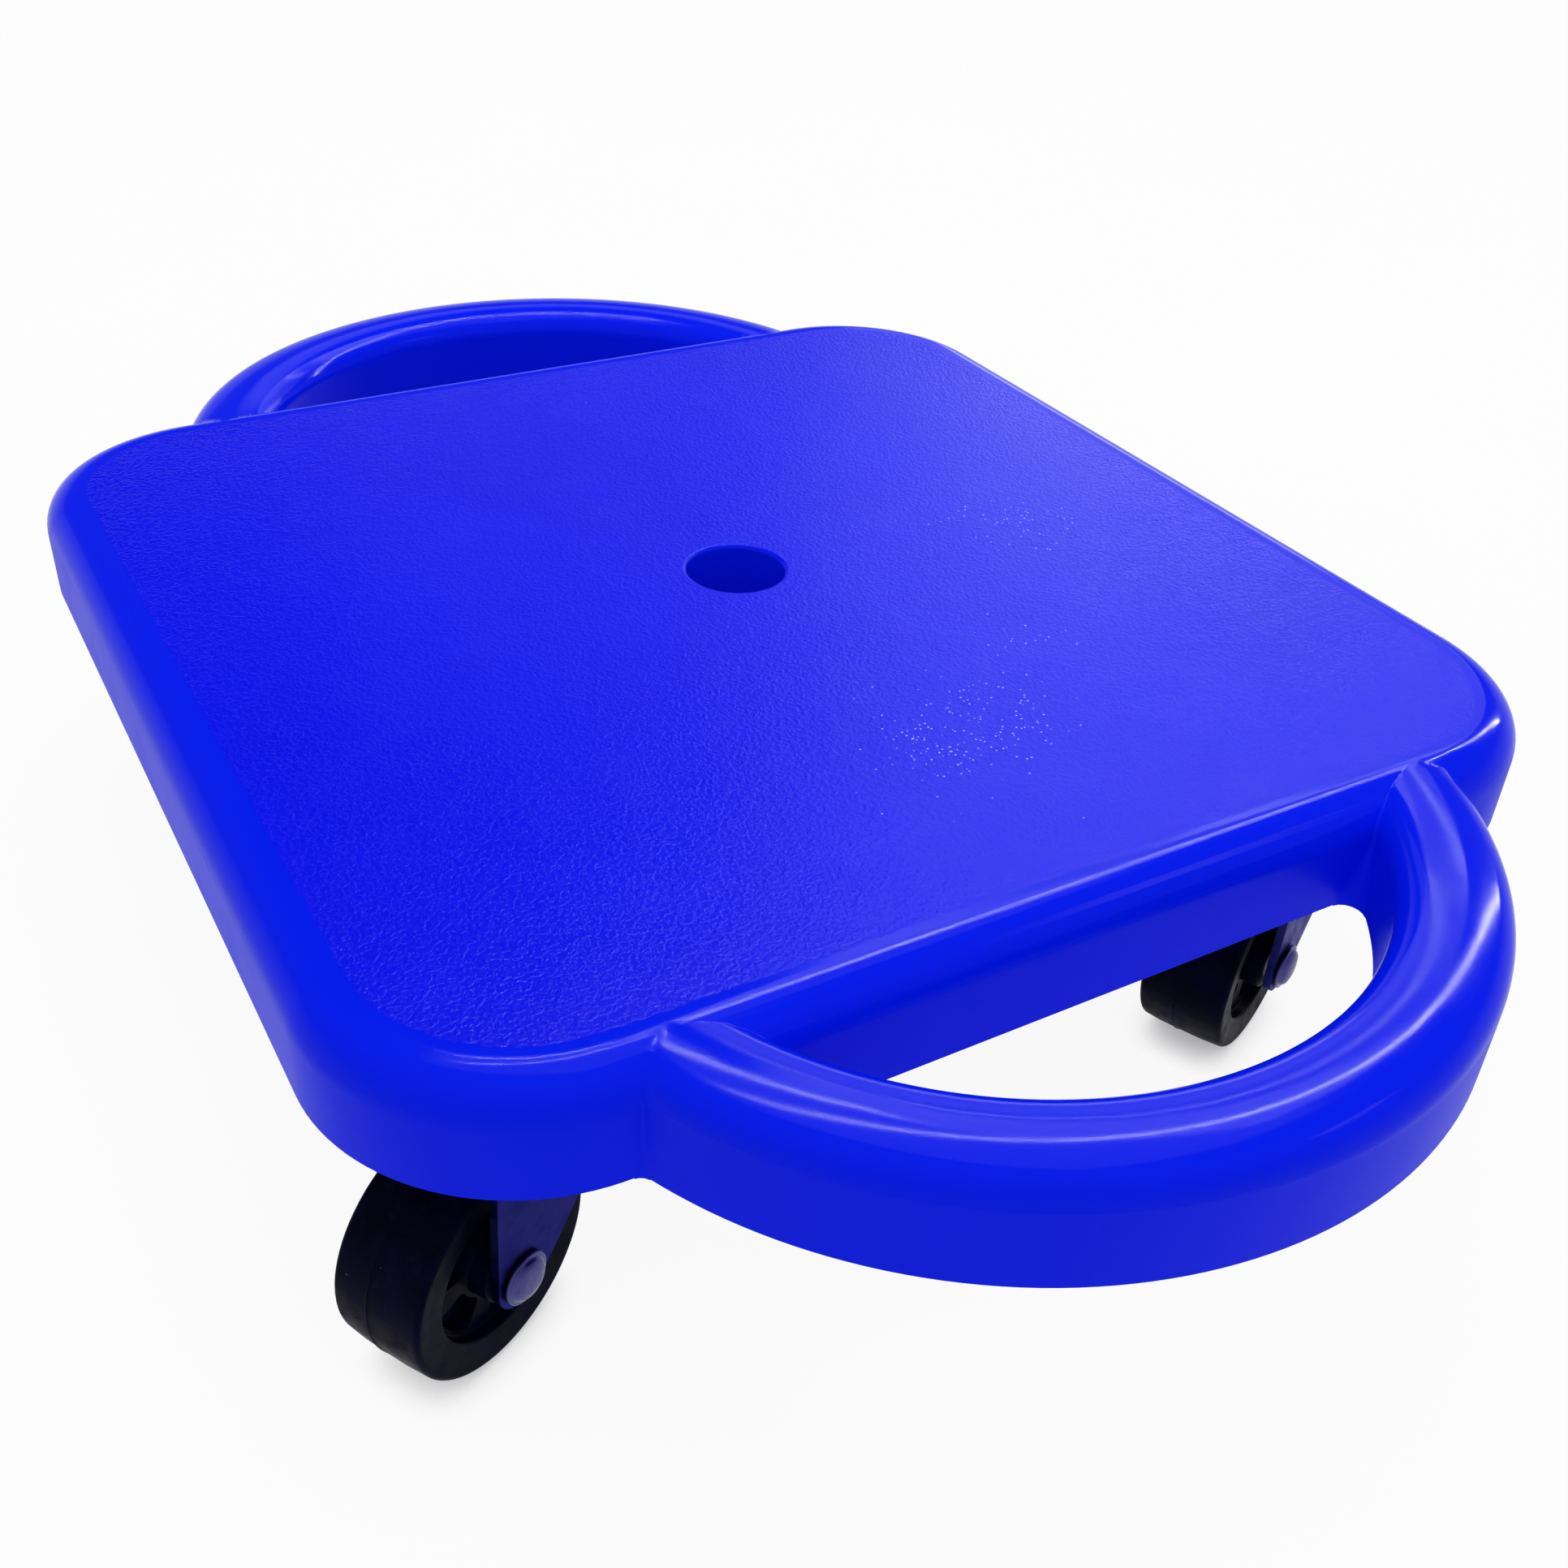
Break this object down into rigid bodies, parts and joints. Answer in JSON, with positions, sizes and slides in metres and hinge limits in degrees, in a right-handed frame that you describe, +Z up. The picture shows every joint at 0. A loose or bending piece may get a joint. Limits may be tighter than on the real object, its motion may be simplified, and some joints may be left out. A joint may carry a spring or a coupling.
{
  "type": "scooter board",
  "caption": "Square plastic scooter board with rounded corners, a loop handle at each end, a storage hole and swivel casters under its corners.",
  "frame": {"origin": "on the floor under the middle of the deck", "axes": "+X from the deck to its front handle, +Y to the left side, +Z up out of the deck"},
  "size_m": [0.4388, 0.3024, 0.0927],
  "materials": {
    "deck_plastic": "injection moulded blue polypropylene, pebbled flat top with glossy edges and handles",
    "wheel_plastic": "moulded near-black hard plastic, satin tread and faces",
    "zinc_plate": "pressed steel with bluish zinc plating",
    "screw_steel": "zinc-plated steel screw",
    "ball_steel": "polished bearing balls in grease",
    "bush_steel": "plain drawn steel tube"
  },
  "bodies": {
    "board": {"deck": "deck_plastic", "top_plate_front_right": "zinc_plate", "kingpin_front_right": "zinc_plate", "lower_cup_front_right": "zinc_plate", "screw_front_right_1": "screw_steel", "screw_front_right_2": "screw_steel", "screw_front_right_3": "screw_steel", "screw_front_right_4": "screw_steel", "top_plate_front_left": "zinc_plate", "kingpin_front_left": "zinc_plate", "lower_cup_front_left": "zinc_plate", "screw_front_left_1": "screw_steel", "screw_front_left_2": "screw_steel", "screw_front_left_3": "screw_steel", "screw_front_left_4": "screw_steel", "top_plate_rear_left": "zinc_plate", "kingpin_rear_left": "zinc_plate", "lower_cup_rear_left": "zinc_plate", "screw_rear_left_1": "screw_steel", "screw_rear_left_2": "screw_steel", "screw_rear_left_3": "screw_steel", "screw_rear_left_4": "screw_steel", "top_plate_rear_right": "zinc_plate", "kingpin_rear_right": "zinc_plate", "lower_cup_rear_right": "zinc_plate", "screw_rear_right_1": "screw_steel", "screw_rear_right_2": "screw_steel", "screw_rear_right_3": "screw_steel", "screw_rear_right_4": "screw_steel"},
    "swivel_front_right": {"fork_front_right": "zinc_plate", "upper_balls_front_right": "ball_steel", "lower_balls_front_right": "ball_steel", "axle_rivet_front_right": "zinc_plate", "axle_bush_front_right": "bush_steel"},
    "roller_front_right": {"wheel_front_right": "wheel_plastic"},
    "swivel_front_left": {"fork_front_left": "zinc_plate", "upper_balls_front_left": "ball_steel", "lower_balls_front_left": "ball_steel", "axle_rivet_front_left": "zinc_plate", "axle_bush_front_left": "bush_steel"},
    "roller_front_left": {"wheel_front_left": "wheel_plastic"},
    "swivel_rear_left": {"fork_rear_left": "zinc_plate", "upper_balls_rear_left": "ball_steel", "lower_balls_rear_left": "ball_steel", "axle_rivet_rear_left": "zinc_plate", "axle_bush_rear_left": "bush_steel"},
    "roller_rear_left": {"wheel_rear_left": "wheel_plastic"},
    "swivel_rear_right": {"fork_rear_right": "zinc_plate", "upper_balls_rear_right": "ball_steel", "lower_balls_rear_right": "ball_steel", "axle_rivet_rear_right": "zinc_plate", "axle_bush_rear_right": "bush_steel"},
    "roller_rear_right": {"wheel_rear_right": "wheel_plastic"}
  },
  "joints": [
    {"name": "swivel_front_right", "type": "hinge", "parent": "board", "child": "swivel_front_right", "pos_m": [0.1059, -0.1019, 0.0573], "axis": [0, 0, 1], "continuous": true},
    {"name": "roll_front_right", "type": "hinge", "parent": "swivel_front_right", "child": "roller_front_right", "pos_m": [0.11724, -0.12407, 0.0254], "axis": [0.8902, 0.4555, 0], "continuous": true},
    {"name": "swivel_front_left", "type": "hinge", "parent": "board", "child": "swivel_front_left", "pos_m": [0.1059, 0.1019, 0.0573], "axis": [0, 0, 1], "continuous": true},
    {"name": "roll_front_left", "type": "hinge", "parent": "swivel_front_left", "child": "roller_front_left", "pos_m": [0.11615, 0.07921, 0.0254], "axis": [0.9114, 0.4115, 0], "continuous": true},
    {"name": "swivel_rear_left", "type": "hinge", "parent": "board", "child": "swivel_rear_left", "pos_m": [-0.1059, 0.1019, 0.0573], "axis": [0, 0, 1], "continuous": true},
    {"name": "roll_rear_left", "type": "hinge", "parent": "swivel_rear_left", "child": "roller_rear_left", "pos_m": [-0.11724, 0.12407, 0.0254], "axis": [-0.8902, -0.4555, 0], "continuous": true},
    {"name": "swivel_rear_right", "type": "hinge", "parent": "board", "child": "swivel_rear_right", "pos_m": [-0.1059, -0.1019, 0.0573], "axis": [0, 0, 1], "continuous": true},
    {"name": "roll_rear_right", "type": "hinge", "parent": "swivel_rear_right", "child": "roller_rear_right", "pos_m": [-0.11615, -0.07921, 0.0254], "axis": [-0.9114, -0.4115, 0], "continuous": true}
  ]
}
